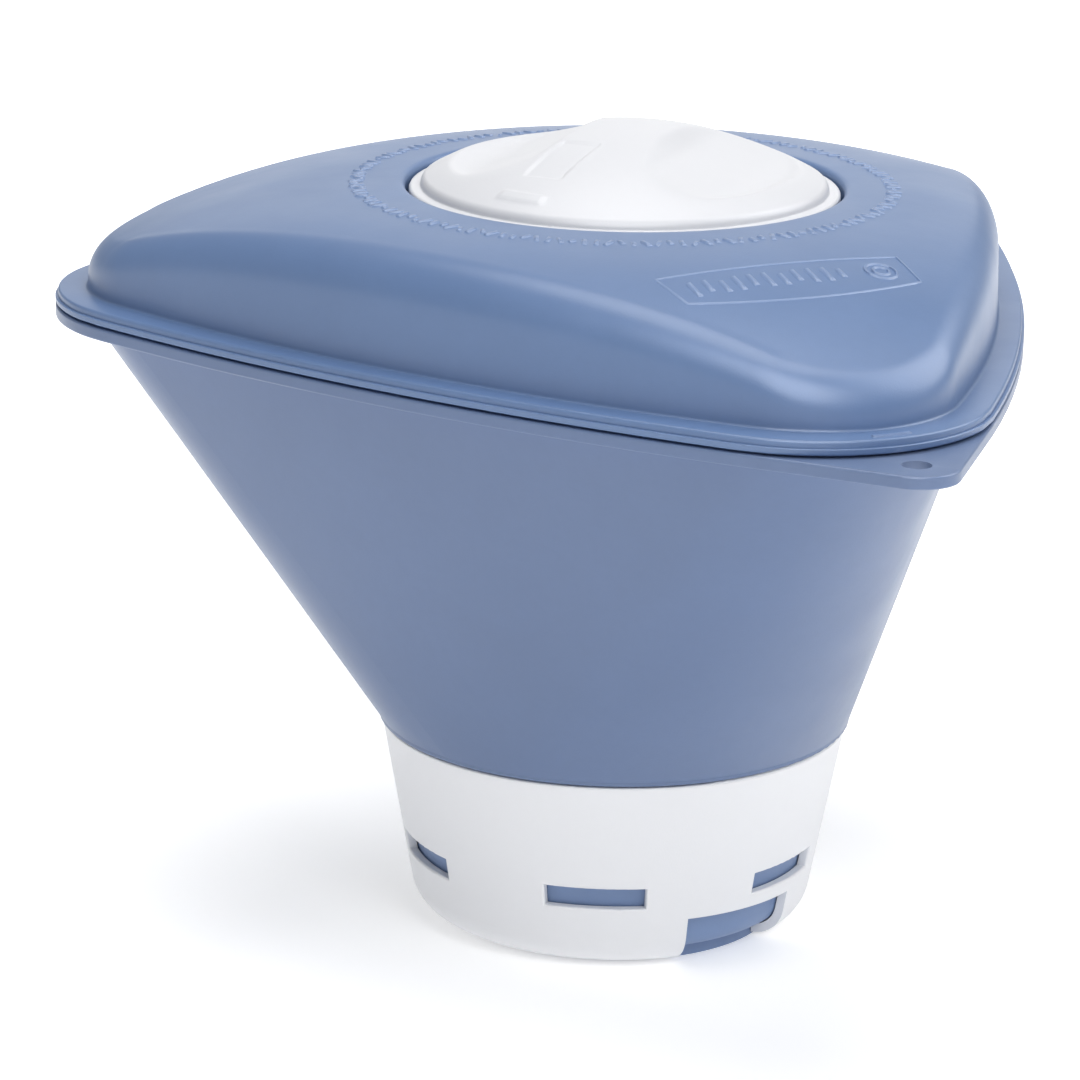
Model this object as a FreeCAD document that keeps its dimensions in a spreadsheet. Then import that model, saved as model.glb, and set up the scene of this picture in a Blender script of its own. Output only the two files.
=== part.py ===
import FreeCAD, Part
import math
import os
import re

import Sketcher

# Floating chlorine dispenser: a rounded-triangular float made of two shells, a tablet chamber
# through its middle, a white bayonet cap on top and a slotted basket with a turning dosing
# ring underneath.  +Z is up, the origin is the centre of the foot's bottom face, and the
# corner that carries the tether tab points along -Y.

doc = FreeCAD.newDocument("floating_chlorine_dispenser")
Vector = FreeCAD.Vector
sizes = doc.addObject("Spreadsheet::Sheet", "Sizes")

DRIVING_SIZES = [
    # How far cuts run past the faces they open, and how deep added features start in a wall.
    ("overrun", 1.0),
    ("overlap", 0.5),
    # The flange's outline: three corner circles joined by three tangent side arcs.
    ("corner_distance", 85.3),
    ("corner_radius", 37.7),
    ("side_radius", 495.0),
    # Heights of the seam between the two shells.
    ("hull_flange_bottom", 131.9),
    ("hull_flange_top", 134.6),
    ("deck_flange_bottom", 135.1),
    ("deck_flange_top", 138.0),
    ("flange_step_height", 136.5),
    ("flange_step_inset", 0.6),
    ("flange_edge_radius", 0.5),
    # Deck shell: crease outline, crown, shoulder and wall.
    ("crease_corner_distance", 86.0),
    ("crease_corner_radius", 30.0),
    ("crease_side_radius", 400.0),
    ("shell_wall", 2.6),
    ("deck_draft", 1.5),
    ("crown_height", 163.8),
    ("crown_flat_radius", 47.5),
    ("crown_arc_radius", 140.0),
    ("crown_cut_reach", 90.0),
    ("crown_cut_rise", 12.0),
    ("shoulder_radius", 10.0),
    # Cap well, seat and bayonet throat in the deck.
    ("well_radius", 47.0),
    ("well_edge_radius", 1.5),
    ("well_wall", 2.8),
    ("seat_height", 157.0),
    ("throat_radius", 43.5),
    ("throat_wall", 2.2),
    ("throat_bottom", 136.0),
    ("ramp_inner_radius", 41.8),
    ("ramp_bottom", 150.5),
    ("ramp_thickness", 3.0),
    ("ramp_angle", 70.0),
    ("ramp_stop_angle", 4.0),
    ("ramp_stop_drop", 3.6),
    ("cap_turn", 40.0),
    ("stop_clearance", 0.6),
    # Hull shell, neck and tether tab.
    ("hull_inset", 7.6),
    ("hull_wall", 3.0),
    ("neck_radius", 51.9),
    ("neck_top", 46.0),
    ("neck_bottom", 45.0),
    ("ledge_bottom", 54.0),
    ("ledge_top", 56.6),
    ("socket_height", 12.0),
    ("tab_tip_distance", 130.4),
    ("tab_tip_radius", 8.75),
    ("tether_hole_radius", 3.0),
    # Seam seal between the two flanges.
    ("seam_seal_outer_inset", 1.8),
    ("seam_seal_inner_inset", 7.2),
    # Tablet tube and its two seals.
    ("tube_bore_radius", 40.0),
    ("tube_wall", 2.0),
    ("tube_end_radius", 43.2),
    ("tube_end_length", 8.0),
    ("tube_top", 144.0),
    ("seal_groove_radius", 41.6),
    ("seal_groove_width", 2.4),
    ("seal_section_radius", 0.92),
    ("seal_centre_radius", 42.55),
    # Dosing ring.
    ("ring_top", 44.5),
    ("ring_bottom", 0.7),
    ("ring_top_radius", 51.1),
    ("ring_slope", 0.186),
    ("ring_wall", 2.0),
    ("ring_corner_radius", 8.0),
    ("ring_opening_radius", 36.3),
    ("slot_count", 6.0),
    ("slot_angle", 27.5),
    ("slot_bottom", 15.2),
    ("slot_top", 20.0),
    ("notch_angle", 37.0),
    ("notch_centre", -75.5),
    ("notch_top", 12.0),
    ("ring_edge_radius", 0.5),
    ("slot_edge_radius", 0.45),
    # Vent cup under the ring.
    ("ring_gap", 0.3),
    ("cup_wall", 2.2),
    ("cup_floor_bottom", 3.0),
    ("cup_floor_top", 5.2),
    ("cup_collar_top", 53.6),
    ("foot_radius", 36.0),
    ("sump_radius", 33.6),
    ("sump_floor", 2.4),
    ("window_angle", 18.0),
    ("window_margin", 0.3),
    ("low_window_angle", 25.0),
    ("low_window_centre", -40.5),
    ("low_window_bottom", 6.2),
    ("low_window_top", 11.2),
    ("drain_radius", 2.6),
    ("drain_circle_radius", 22.0),
    ("drain_count", 8.0),
    ("bead_centre_height", 39.0),
    ("bead_height", 2.0),
    ("bead_depth", 0.5),
    ("snap_centre_height", 49.4),
    ("snap_height", 1.8),
    ("snap_depth", 0.7),
    # Cap and its flat seal.
    ("cap_seal_thickness", 1.5),
    ("cap_seal_inner_radius", 41.6),
    ("cap_seal_outer_radius", 45.8),
    ("cap_lip_radius", 46.2),
    ("cap_lip_thickness", 2.6),
    ("cap_lip_edge_radius", 0.8),
    ("cap_dome_radius", 43.7),
    ("cap_crest", 176.3),
    ("cap_dome_arc_radius", 87.0),
    ("cap_plate", 2.2),
    ("cap_skirt_radius", 41.3),
    ("cap_skirt_wall", 2.0),
    ("cap_skirt_bottom", 146.0),
    ("lug_radius", 43.1),
    ("lug_bottom", 147.2),
    ("lug_top", 150.2),
    ("lug_angle", 30.0),
    ("lug_count", 3.0),
    ("scoop_radius", 37.0),
    ("scoop_edge_radius", 95.0),
    ("grip_half_width", 9.5),
    ("grip_direction", 44.0),
    ("scoop_tilt", 18.0),
    ("scoop_floor_height", 176.1),
]

for row, (alias, value) in enumerate(DRIVING_SIZES, start=1):
    sizes.set(f"A{row}", alias)
    sizes.set(f"B{row}", str(value))
    sizes.setAlias(f"B{row}", alias)
doc.recompute()


def number(expression):
    """The value of an expression on the sheet, in millimetres or degrees."""
    result = sizes.evalExpression(expression)
    return float(getattr(result, "Value", result))


def sheet(formula):
    """Write a formula with the sheet's aliases in full, as FreeCAD's expressions need them."""
    for alias in sorted((entry[0] for entry in DRIVING_SIZES), key=len, reverse=True):
        formula = re.sub(rf"(?<![\w.]){alias}(?!\w)", f"Sizes.{alias}", formula)
    return formula


# ---------------------------------------------------------------------------------------------
# Sketches
# ---------------------------------------------------------------------------------------------

ORIGIN = -1
HORIZONTAL_AXIS = -1
VERTICAL_AXIS = -2
START = 1
END = 2
CENTRE = 3
UP = Vector(0, 0, 1)
TOLERANCE = 0.02
LOOSE_TOLERANCE = 0.05


def origin_feature(body, role):
    return next(feature for feature in body.Origin.OriginFeatures if feature.Role == role)


def new_body(name):
    return doc.addObject("PartDesign::Body", name)


def new_sketch(body, name, role, height="0", direction="0"):
    """A sketch on one of the body's own planes, raised by height or turned about +Z."""
    sketch = body.newObject("Sketcher::SketchObject", name)
    sketch.AttachmentSupport = [(origin_feature(body, role), "")]
    sketch.MapMode = "FlatFace"
    if height != "0":
        sketch.setExpression("AttachmentOffset.Base.z", sheet(height))
    if direction != "0":
        turned = FreeCAD.Rotation(Vector(0, 1, 0), number(sheet(direction)))
        sketch.AttachmentOffset = FreeCAD.Placement(Vector(0, 0, 0), turned)
        sketch.setExpression("AttachmentOffset.Rotation.Angle", sheet(direction))
    return sketch


def constrain(sketch, kind, *reference, formula):
    index = sketch.addConstraint(Sketcher.Constraint(kind, *reference, number(sheet(formula))))
    sketch.setExpression(f"Constraints[{index}]", sheet(formula))


def pin(sketch, geometry, point, along, up=None):
    """Fix a point's two coordinates to formulas; None leaves the second one free."""
    if along == "0":
        sketch.addConstraint(Sketcher.Constraint("PointOnObject", geometry, point, VERTICAL_AXIS))
    else:
        constrain(sketch, "DistanceX", ORIGIN, 1, geometry, point, formula=along)
    if up == "0":
        sketch.addConstraint(Sketcher.Constraint("PointOnObject", geometry, point, HORIZONTAL_AXIS))
    elif up is not None:
        constrain(sketch, "DistanceY", ORIGIN, 1, geometry, point, formula=up)


def join(sketch, first, second):
    sketch.addConstraint(Sketcher.Constraint("Coincident", first, END, second, START))


def draw_profile(sketch, corners, arcs=None):
    """A closed outline through corners; arcs maps a corner's index to the centre of a clockwise arc
    that runs from that corner to the next one."""
    arcs = arcs or {}
    count = len(corners)
    places = [Vector(number(sheet(x)), number(sheet(y)), 0) for x, y in corners]
    for i in range(count):
        start = places[i]
        end = places[(i + 1) % count]
        if i not in arcs:
            sketch.addGeometry(Part.LineSegment(start, end))
            continue
        centre = Vector(number(sheet(arcs[i][0])), number(sheet(arcs[i][1])), 0)
        circle = Part.Circle(centre, UP, (start - centre).Length)
        first = math.atan2(end.y - centre.y, end.x - centre.x)
        last = math.atan2(start.y - centre.y, start.x - centre.x)
        sketch.addGeometry(Part.ArcOfCircle(circle, first, last))
    for i in range(count):
        after = (i + 1) % count
        leaving = START if i in arcs else END
        arriving = END if after in arcs else START
        sketch.addConstraint(Sketcher.Constraint("Coincident", i, leaving, after, arriving))
        # An arc's centre and start already give the height of its far end.
        pin_up = None if (i - 1) % count in arcs else corners[i][1]
        pin(sketch, i, END if i in arcs else START, corners[i][0], pin_up)
        if i in arcs:
            pin(sketch, i, CENTRE, *arcs[i])


CORNER_DIRECTIONS = (-90, 30, 150)


def draw_rounded_triangle(sketch, distance, corner, side):
    """Three corner arcs of radius corner centred at distance from the axis, joined by three
    tangent side arcs of radius side.  One corner points along -Y."""
    first_arc = sketch.GeometryCount
    reach = number(sheet(distance))
    small = number(sheet(corner))
    large = number(sheet(side))
    opposite = (-reach + math.sqrt(4 * (large - small) ** 2 - 3 * reach ** 2)) / 2
    half_span = math.atan2(opposite * math.sqrt(3) / 2, reach + opposite / 2)
    for direction in CORNER_DIRECTIONS:
        angle = math.radians(direction)
        centre = Vector(reach * math.cos(angle), reach * math.sin(angle), 0)
        circle = Part.Circle(centre, UP, small)
        sketch.addGeometry(Part.ArcOfCircle(circle, angle - half_span, angle + half_span))
        across = angle + math.pi / 3
        centre = Vector(-opposite * math.cos(across), -opposite * math.sin(across), 0)
        circle = Part.Circle(centre, UP, large)
        side_span = math.pi / 3 - half_span
        sketch.addGeometry(Part.ArcOfCircle(circle, across - side_span, across + side_span))
    arcs = range(first_arc, first_arc + 6)
    for i, arc in enumerate(arcs):
        following = arcs[(i + 1) % 6]
        sketch.addConstraint(Sketcher.Constraint("Tangent", arc, END, following, START))
    for i, direction in enumerate(CORNER_DIRECTIONS):
        arc = arcs[2 * i]
        along = "0" if direction == -90 else f"({distance}) * cos({direction})"
        pin(sketch, arc, CENTRE, along, f"({distance}) * sin({direction})")
        constrain(sketch, "Radius", arc, formula=corner)
        constrain(sketch, "Radius", arcs[2 * i + 1], formula=side)


def draw_split_circle(sketch, radius, distance, corner, side):
    """A circle cut into six arcs that face the same ways as a rounded triangle's six arcs, so
    that a loft between the two is straight-lined and even."""
    reach = number(sheet(distance))
    gap = number(sheet(side)) - number(sheet(corner))
    opposite = (-reach + math.sqrt(4 * gap ** 2 - 3 * reach ** 2)) / 2
    half_span = math.atan2(opposite * math.sqrt(3) / 2, reach + opposite / 2)
    circle = Part.Circle(Vector(0, 0, 0), UP, number(sheet(radius)))
    for direction in CORNER_DIRECTIONS:
        angle = math.radians(direction)
        before = angle + 2 * math.pi / 3 - half_span
        sketch.addGeometry(Part.ArcOfCircle(circle, angle - half_span, angle + half_span))
        sketch.addGeometry(Part.ArcOfCircle(circle, angle + half_span, before))
    for i in range(6):
        join(sketch, i, (i + 1) % 6)
    for i in range(5):
        sketch.addConstraint(Sketcher.Constraint("Coincident", i, CENTRE, ORIGIN, 1))
    # The last arc already ends on its neighbours, so an equal radius is all it still needs.
    sketch.addConstraint(Sketcher.Constraint("Equal", 0, 5))
    constrain(sketch, "Radius", 0, formula=radius)


# ---------------------------------------------------------------------------------------------
# Features
# ---------------------------------------------------------------------------------------------


def turned(body, kind, name, corners, arcs=None, angle=None, direction="0", copies=None):
    """A Revolution or Groove of a profile about the Z axis.  With an angle it is a sector centred
    on direction, and copies repeats that sector evenly round the axis."""
    sketch = new_sketch(body, name + "Profile", "XZ_Plane", direction=direction)
    draw_profile(sketch, corners, arcs)
    feature = body.newObject("PartDesign::" + kind, name)
    feature.Profile = sketch
    feature.ReferenceAxis = (sketch, ["V_Axis"])
    feature.Angle = 360
    if angle:
        feature.setExpression("Angle", sheet(angle))
        feature.Midplane = True
    doc.recompute()
    if copies:
        return spread(body, feature, copies)
    return feature


def spread(body, feature, copies):
    """Repeat a feature evenly round the Z axis."""
    pattern = body.newObject("PartDesign::PolarPattern", feature.Name + "Pattern")
    pattern.Originals = [feature]
    pattern.Axis = (origin_feature(body, "Z_Axis"), [""])
    pattern.Angle = 360
    pattern.setExpression("Occurrences", sheet(copies))
    body.Tip = pattern
    doc.recompute()
    return pattern


def box_profile(inner, outer, bottom, top):
    """The corners of an upright rectangle, for a ring that is turned about the axis."""
    return [(inner, bottom), (outer, bottom), (outer, top), (inner, top)]


def lofted(body, kind, name, first, second):
    """A straight-lined AdditiveLoft or SubtractiveLoft between two sketches."""
    loft = body.newObject("PartDesign::" + kind, name)
    loft.Profile = first
    loft.Sections = [second]
    loft.Ruled = True
    doc.recompute()
    return loft


def padded(body, name, sketch, length):
    pad = body.newObject("PartDesign::Pad", name)
    pad.Profile = sketch
    pad.setExpression("Length", sheet(length))
    doc.recompute()
    return pad


def drilled(body, name, radius, centre, bottom, depth, copies=None):
    """A round hole along +Z from the given height up through depth."""
    sketch = new_sketch(body, name + "Circle", "XY_Plane", height=bottom)
    middle = Vector(number(sheet(centre[0])), number(sheet(centre[1])), 0)
    sketch.addGeometry(Part.Circle(middle, UP, number(sheet(radius))))
    pin(sketch, 0, CENTRE, *centre)
    constrain(sketch, "Radius", 0, formula=radius)
    pocket = body.newObject("PartDesign::Pocket", name)
    pocket.Profile = sketch
    pocket.Reversed = True
    pocket.setExpression("Length", sheet(depth))
    doc.recompute()
    if copies:
        return spread(body, pocket, copies)
    return pocket


def rounded(body, name, radius, belongs):
    """A fillet on every edge whose sampled points all satisfy belongs(point)."""
    base = body.Tip
    chosen = []
    for index, edge in enumerate(base.Shape.Edges, start=1):
        if edge.Degenerated:
            continue
        points = edge.discretize(5)
        if all(belongs(point) for point in points):
            chosen.append(f"Edge{index}")
    if not chosen:
        raise RuntimeError(f"{body.Label}: no edge found for {name}")
    fillet = body.newObject("PartDesign::Fillet", name)
    fillet.Base = (base, chosen)
    fillet.setExpression("Radius", sheet(radius))
    doc.recompute()
    return fillet


def on_circle(radius, height):
    """A test for points at one distance from the axis and one height."""
    wanted_radius = number(sheet(radius))
    wanted_height = number(sheet(height))

    def belongs(point):
        off_radius = abs(math.hypot(point.x, point.y) - wanted_radius)
        return off_radius < TOLERANCE and abs(point.z - wanted_height) < TOLERANCE

    return belongs


def on_outline(height, inset):
    """A test for points on the flange's outline, moved in by inset, at one height."""
    reach = number(sheet("corner_distance"))
    small = number(sheet("corner_radius"))
    large = number(sheet("side_radius"))
    opposite = (-reach + math.sqrt(4 * (large - small) ** 2 - 3 * reach ** 2)) / 2
    wanted_height = number(sheet(height))
    inward = number(sheet(inset))

    def belongs(point):
        if abs(point.z - wanted_height) > TOLERANCE:
            return False
        around = math.degrees(math.atan2(point.y, point.x))
        corner = min(CORNER_DIRECTIONS, key=lambda entry: abs((around - entry + 180) % 360 - 180))
        angle = math.radians(corner)
        centre = Vector(reach * math.cos(angle), reach * math.sin(angle), point.z)
        if abs(point.distanceToPoint(centre) - small + inward) < TOLERANCE:
            return True
        for turn in (-60, 60):
            across = math.radians(corner + turn)
            centre = Vector(-opposite * math.cos(across), -opposite * math.sin(across), point.z)
            if abs(point.distanceToPoint(centre) - large + inward) < TOLERANCE:
                return True
        return False

    return belongs


# ---------------------------------------------------------------------------------------------
# Deck shell: the domed upper half of the float
# ---------------------------------------------------------------------------------------------

CROWN_END = "crown_flat_radius + crown_cut_reach"
ABOVE_CROWN = "crown_height + crown_cut_rise"
CROWN_CENTRE = ("crown_flat_radius", "crown_height - crown_arc_radius")
# The crown's border lies at least this far out from the end of its flat middle.
CROWN_BORDER_RUN = 20


def crown_corners(drop):
    """The region above the crown: flat to crown_flat_radius, then an arc that falls outwards.
    drop lowers the crown for the inside of the shell."""
    fall = f"sqrt((crown_arc_radius - {drop}) ^ 2 - crown_cut_reach ^ 2)"
    return [
        ("0", f"crown_height - {drop}"),
        ("crown_flat_radius", f"crown_height - {drop}"),
        (CROWN_END, f"crown_height - crown_arc_radius + {fall}"),
        (CROWN_END, ABOVE_CROWN),
        ("0", ABOVE_CROWN),
    ]


def on_crown(drop):
    """A test for points on the crown's border, where it meets the walls."""
    flat = number(sheet("crown_flat_radius"))
    centre_height = number(sheet("crown_height - crown_arc_radius"))
    arc = number(sheet(f"crown_arc_radius - {drop}"))

    def belongs(point):
        run = math.hypot(point.x, point.y) - flat
        if run < CROWN_BORDER_RUN:
            return False
        return abs(centre_height + math.sqrt(arc ** 2 - run ** 2) - point.z) < LOOSE_TOLERANCE

    return belongs


def deck_block(name, bottom, wall, shoulder):
    """A rounded-triangular block with drafted walls, a crowned top and a rounded shoulder."""
    body = new_body(name)
    low = new_sketch(body, name + "LowOutline", "XY_Plane", height=bottom)
    corner = f"crease_corner_radius - {wall}"
    side = f"crease_side_radius - {wall}"
    draw_rounded_triangle(low, "crease_corner_distance", corner, side)
    high = new_sketch(body, name + "HighOutline", "XY_Plane", height=ABOVE_CROWN)
    lean = f"({ABOVE_CROWN} - ({bottom})) * tan(deck_draft)"
    draw_rounded_triangle(high, "crease_corner_distance", f"{corner} - {lean}", f"{side} - {lean}")
    lofted(body, "AdditiveLoft", name + "Walls", low, high)
    turned(body, "Groove", name + "Crown", crown_corners(wall), {1: CROWN_CENTRE})
    rounded(body, name + "Shoulder", shoulder, on_crown(wall))
    return body


inner_shoulder = "shoulder_radius - shell_wall"
deck_cavity = deck_block("DeckCavity", "deck_flange_bottom", "shell_wall", inner_shoulder)
deck = deck_block("DeckShell", "deck_flange_bottom", "0", "shoulder_radius")

# The flange is stepped halfway up its edge.
lower_flange = new_sketch(deck, "LowerFlangeOutline", "XY_Plane", height="deck_flange_bottom")
draw_rounded_triangle(lower_flange, "corner_distance", "corner_radius", "side_radius")
padded(deck, "LowerFlange", lower_flange, "flange_step_height - deck_flange_bottom")
upper_flange = new_sketch(deck, "UpperFlangeOutline", "XY_Plane", height="flange_step_height")
upper_corner = "corner_radius - flange_step_inset"
upper_side = "side_radius - flange_step_inset"
draw_rounded_triangle(upper_flange, "corner_distance", upper_corner, upper_side)
padded(deck, "UpperFlange", upper_flange, "deck_flange_top - flange_step_height")
top_edge = on_outline("deck_flange_top", "flange_step_inset")
bottom_edge = on_outline("deck_flange_bottom", "0")
rounded(deck, "UpperFlangeEdge", "flange_edge_radius", top_edge)
rounded(deck, "LowerFlangeEdge", "flange_edge_radius", bottom_edge)

hollow = deck.newObject("PartDesign::Boolean", "DeckHollow")
hollow.Type = "Cut"
hollow.setObjects([deck_cavity])
deck.Tip = hollow
doc.recompute()

# The collar under the cap: a seat for the cap's seal, and the throat that the cap locks into.
collar = [
    ("throat_radius - overrun", "throat_bottom"),
    ("throat_radius + throat_wall", "throat_bottom"),
    ("throat_radius + throat_wall", "seat_height - throat_wall"),
    ("well_radius + well_wall", "seat_height - throat_wall"),
    ("well_radius + well_wall", "crown_height - shell_wall / 2"),
    ("throat_radius - overrun", "crown_height - shell_wall / 2"),
]
turned(deck, "Revolution", "CapCollar", collar)
well = [
    ("0", "throat_bottom"),
    ("throat_radius", "throat_bottom"),
    ("throat_radius", "seat_height"),
    ("well_radius", "seat_height"),
    ("well_radius", ABOVE_CROWN),
    ("0", ABOVE_CROWN),
]
turned(deck, "Groove", "CapWell", well)
rounded(deck, "WellEdge", "well_edge_radius", on_circle("well_radius", "crown_height"))

# Three bayonet ramps, each with a stop at the far end of the cap's turn.
ramp_outer = "throat_radius + overlap"
ramp = box_profile("ramp_inner_radius", ramp_outer, "ramp_bottom", "ramp_bottom + ramp_thickness")
ramp_place = "grip_direction + 180 / lug_count"
turned(deck, "Revolution", "BayonetRamp", ramp, angle="ramp_angle", direction=ramp_place, copies="lug_count")
stop = box_profile("ramp_inner_radius", ramp_outer, "ramp_bottom - ramp_stop_drop", "ramp_bottom")
stop_place = "grip_direction - cap_turn - stop_clearance - (lug_angle + ramp_stop_angle) / 2"
stop_angle = "ramp_stop_angle"
turned(deck, "Revolution", "BayonetStop", stop, angle=stop_angle, direction=stop_place, copies="lug_count")

# ---------------------------------------------------------------------------------------------
# Hull shell: the funnel-shaped lower half of the float
# ---------------------------------------------------------------------------------------------


def hull_section(height, wall):
    """The rounded triangle that the hull's straight-lined funnel has at one height, inset by
    wall: it grows from the neck's circle up to the flange."""
    part = f"(({height} - neck_top) / (hull_flange_bottom - neck_top))"
    distance = f"corner_distance * {part}"
    near = f"(neck_radius - {wall}) * (1 - {part})"
    corner = f"{near} + (corner_radius - hull_inset - {wall}) * {part}"
    side = f"{near} + (side_radius - hull_inset - {wall}) * {part}"
    return distance, corner, side


hull = new_body("HullShell")
neck_circle = new_sketch(hull, "NeckCircle", "XY_Plane", height="neck_top")
draw_split_circle(neck_circle, "neck_radius", *hull_section("hull_flange_bottom", "0"))
hull_rim = new_sketch(hull, "HullRim", "XY_Plane", height="hull_flange_bottom")
draw_rounded_triangle(hull_rim, *hull_section("hull_flange_bottom", "0"))
lofted(hull, "AdditiveLoft", "Funnel", neck_circle, hull_rim)
neck = box_profile("neck_radius - hull_wall", "neck_radius", "neck_bottom", "neck_top")
turned(hull, "Revolution", "Neck", neck)

hull_flange = new_sketch(hull, "HullFlangeOutline", "XY_Plane", height="hull_flange_bottom")
draw_rounded_triangle(hull_flange, "corner_distance", "corner_radius", "side_radius")
flange_thickness = "hull_flange_top - hull_flange_bottom"
padded(hull, "HullFlange", hull_flange, flange_thickness)

# The tether tab: two lines tangent to the corner circle and to the tab's round tip.
tab = new_sketch(hull, "TabOutline", "XY_Plane", height="hull_flange_bottom")
lean = "asin((corner_radius - tab_tip_radius) / (tab_tip_distance - corner_distance))"
root = (f"corner_radius * cos({lean})", f"-corner_distance - corner_radius * sin({lean})")
tip = (f"tab_tip_radius * cos({lean})", f"-tab_tip_distance - tab_tip_radius * sin({lean})")
tab_corners = [("-" + tip[0], tip[1]), ("-" + root[0], root[1]), root, tip]
draw_profile(tab, tab_corners, {3: ("0", "-tab_tip_distance")})
padded(hull, "TetherTab", tab, flange_thickness)
hole_centre = ("0", "-tab_tip_distance")
drilled(hull, "TetherHole", "tether_hole_radius", hole_centre, "hull_flange_bottom", flange_thickness)


def on_flange_rim(height):
    """A test for points on the hull flange's outer rim and round its tab."""
    wanted_height = number(sheet(height))
    funnel_rim = on_outline(height, "hull_inset")
    middle = Vector(0, -number(sheet("tab_tip_distance")), wanted_height)
    hole_edge = number(sheet("tether_hole_radius")) + TOLERANCE

    def belongs(point):
        if abs(point.z - wanted_height) > TOLERANCE or funnel_rim(point):
            return False
        return point.distanceToPoint(middle) > hole_edge

    return belongs


for edge_name, edge_height in {"Top": "hull_flange_top", "Bottom": "hull_flange_bottom"}.items():
    rounded(hull, f"HullFlange{edge_name}Edge", "flange_edge_radius", on_flange_rim(edge_height))
rounded(hull, "NeckEdge", "flange_edge_radius", on_circle("neck_radius", "neck_bottom"))

# The air space inside the funnel stops at a ledge that carries the tablet tube.
cavity_top = "hull_flange_top + overrun"
cavity_low = new_sketch(hull, "CavityLow", "XY_Plane", height="ledge_top")
draw_rounded_triangle(cavity_low, *hull_section("ledge_top", "hull_wall"))
cavity_high = new_sketch(hull, "CavityHigh", "XY_Plane", height=cavity_top)
draw_rounded_triangle(cavity_high, *hull_section(f"({cavity_top})", "hull_wall"))
lofted(hull, "SubtractiveLoft", "AirSpace", cavity_low, cavity_high)

cup_top_radius = "(ring_top_radius - ring_wall / cos(atan(ring_slope)) - ring_gap)"
snap_low = "snap_centre_height - snap_height / 2 - ring_gap"
snap_high = "snap_centre_height + snap_height / 2 + ring_gap"
neck_bore = f"{cup_top_radius} + ring_gap"
snap_bore = f"{cup_top_radius} + snap_depth + ring_gap"
bore = [
    ("0", "neck_bottom - overrun"),
    (neck_bore, "neck_bottom - overrun"),
    (neck_bore, snap_low),
    (snap_bore, snap_low),
    (snap_bore, snap_high),
    (neck_bore, snap_high),
    (neck_bore, "ledge_bottom"),
    ("tube_bore_radius", "ledge_bottom"),
    ("tube_bore_radius", "ledge_top"),
    ("0", "ledge_top"),
]
turned(hull, "Groove", "NeckBore", bore)
socket_top = "ledge_top + socket_height"
socket = box_profile("throat_radius", "throat_radius + throat_wall", "ledge_top - overlap", socket_top)
turned(hull, "Revolution", "TubeSocket", socket)

# ---------------------------------------------------------------------------------------------
# Seam seal: the flat ring between the two flanges
# ---------------------------------------------------------------------------------------------

seam_seal = new_body("SeamSeal")
seal_outline = new_sketch(seam_seal, "SealOutline", "XY_Plane", height="hull_flange_top")
for inset in ("seam_seal_outer_inset", "seam_seal_inner_inset"):
    seal_corner = f"corner_radius - {inset}"
    draw_rounded_triangle(seal_outline, "corner_distance", seal_corner, f"side_radius - {inset}")
padded(seam_seal, "Seal", seal_outline, "deck_flange_bottom - hull_flange_top")

# ---------------------------------------------------------------------------------------------
# Tablet tube: the sleeve that keeps water out of the float, with a seal at each end
# ---------------------------------------------------------------------------------------------

top_seal_height = "(tube_top - tube_end_length / 2)"
bottom_seal_height = "(ledge_top + tube_end_length / 2)"


def seal_channel(height):
    """The three sides of a seal's groove in the tube's end, from below to above."""
    half = "seal_groove_width / 2"
    return [
        ("tube_end_radius", f"{height} - {half}"),
        ("seal_groove_radius", f"{height} - {half}"),
        ("seal_groove_radius", f"{height} + {half}"),
        ("tube_end_radius", f"{height} + {half}"),
    ]


tube = new_body("TabletTube")
tube_profile = [
    ("tube_bore_radius", "ledge_top"),
    ("tube_end_radius", "ledge_top"),
    *seal_channel(bottom_seal_height),
    ("tube_end_radius", "ledge_top + tube_end_length"),
    ("tube_bore_radius + tube_wall", "ledge_top + tube_end_length"),
    ("tube_bore_radius + tube_wall", "tube_top - tube_end_length"),
    ("tube_end_radius", "tube_top - tube_end_length"),
    *seal_channel(top_seal_height),
    ("tube_end_radius", "tube_top"),
    ("tube_bore_radius", "tube_top"),
]
turned(tube, "Revolution", "TubeWall", tube_profile)


def ring_seal(name, height):
    seal = doc.addObject("Part::Torus", name)
    seal.setExpression("Radius1", sheet("seal_centre_radius"))
    seal.setExpression("Radius2", sheet("seal_section_radius"))
    seal.setExpression("Placement.Base.z", sheet(height))
    return seal


top_seal = ring_seal("TubeTopSeal", top_seal_height)
bottom_seal = ring_seal("TubeBottomSeal", bottom_seal_height)

# ---------------------------------------------------------------------------------------------
# Dosing ring: the white ring whose turn opens and closes the slots
# ---------------------------------------------------------------------------------------------


def ring_radius(height, depth="0"):
    """The radius of the dosing ring's sloping wall at a height, depth inside its outer face."""
    return f"(ring_top_radius - ring_slope * (ring_top - ({height})) - ({depth}) / cos(atan(ring_slope)))"


ring = new_body("DosingRing")
ring_floor = "(ring_bottom + ring_wall)"
ring_profile = [
    ("ring_opening_radius", "ring_bottom"),
    (ring_radius("ring_bottom"), "ring_bottom"),
    ("ring_top_radius", "ring_top"),
    (ring_radius("ring_top", "ring_wall"), "ring_top"),
    (ring_radius(ring_floor, "ring_wall"), ring_floor),
    ("ring_opening_radius", ring_floor),
]
turned(ring, "Revolution", "RingWall", ring_profile)
rounded(ring, "RingCorner", "ring_corner_radius", on_circle(ring_radius("ring_bottom"), "ring_bottom"))
inner_corner = on_circle(ring_radius(ring_floor, "ring_wall"), ring_floor)
rounded(ring, "RingInnerCorner", "ring_corner_radius - ring_wall", inner_corner)
rounded(ring, "RingTopEdge", "ring_edge_radius", on_circle("ring_top_radius", "ring_top"))
bead_low = "bead_centre_height - bead_height / 2"
bead_high = "bead_centre_height + bead_height / 2"
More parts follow.
